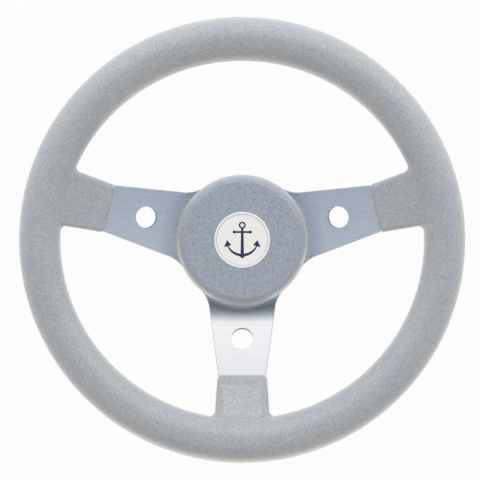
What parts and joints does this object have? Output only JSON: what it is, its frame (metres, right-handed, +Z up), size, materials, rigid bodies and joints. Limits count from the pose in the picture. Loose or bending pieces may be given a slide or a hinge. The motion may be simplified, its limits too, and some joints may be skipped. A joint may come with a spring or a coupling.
{
  "type": "boat steering wheel",
  "caption": "Boat steering wheel with a soft moulded rim grip, bent aluminium spokes with round holes, a hub with a tapered metal bush and a round pull-off hub pad with an anchor emblem.",
  "frame": {"origin": "centre of the tapered bore's mouth on the hub's back face", "axes": "the wheel's axis is along Y, the helmsman is on the -Y side, +Y runs back along the helm's shaft, +Z is up with one spoke pointing straight down, and +X is to the helmsman's right"},
  "size_m": [0.34, 0.0833, 0.34],
  "materials": {
    "grip_foam": "matte fine-grained integral-skin foam",
    "core_steel": "zinc plated",
    "rivet_aluminium": "plain",
    "spoke_aluminium": "brushed and silver anodised",
    "hub_plastic": "moulded, fine texture",
    "bush_metal": "turned",
    "insert_brass": "plain",
    "screw_steel": "stainless",
    "carrier_plastic": "moulded",
    "ring_rubber": "matte",
    "pad_foam": "matte fine-grained integral-skin foam",
    "tape_foam": "adhesive foam",
    "bezel_metal": "bright silver anodised",
    "disc_pearl": "pearl white",
    "motif_navy": "navy blue inlay"
  },
  "bodies": {
    "wheel": {"rim_grip": "grip_foam", "rim_core": "core_steel", "core_tab_right": "core_steel", "core_tab_left": "core_steel", "core_tab_bottom": "core_steel", "spoke_rivets_right": "rivet_aluminium", "spoke_rivets_left": "rivet_aluminium", "spoke_rivets_bottom": "rivet_aluminium", "spoke_plate": "spoke_aluminium", "hub_body": "hub_plastic", "taper_bush": "bush_metal", "hub_inserts": "insert_brass", "hub_screws": "screw_steel"},
    "pad": {"pad_carrier": "carrier_plastic", "pad_ring": "ring_rubber", "pad_cover": "pad_foam", "emblem_tape": "tape_foam", "emblem_bezel": "bezel_metal", "emblem_disc": "disc_pearl", "emblem_motif": "motif_navy"}
  },
  "joints": [
    {"name": "pad_pull", "type": "slide", "parent": "wheel", "child": "pad", "axis": [0, -1, 0], "range_m": [0, 0.06]}
  ]
}
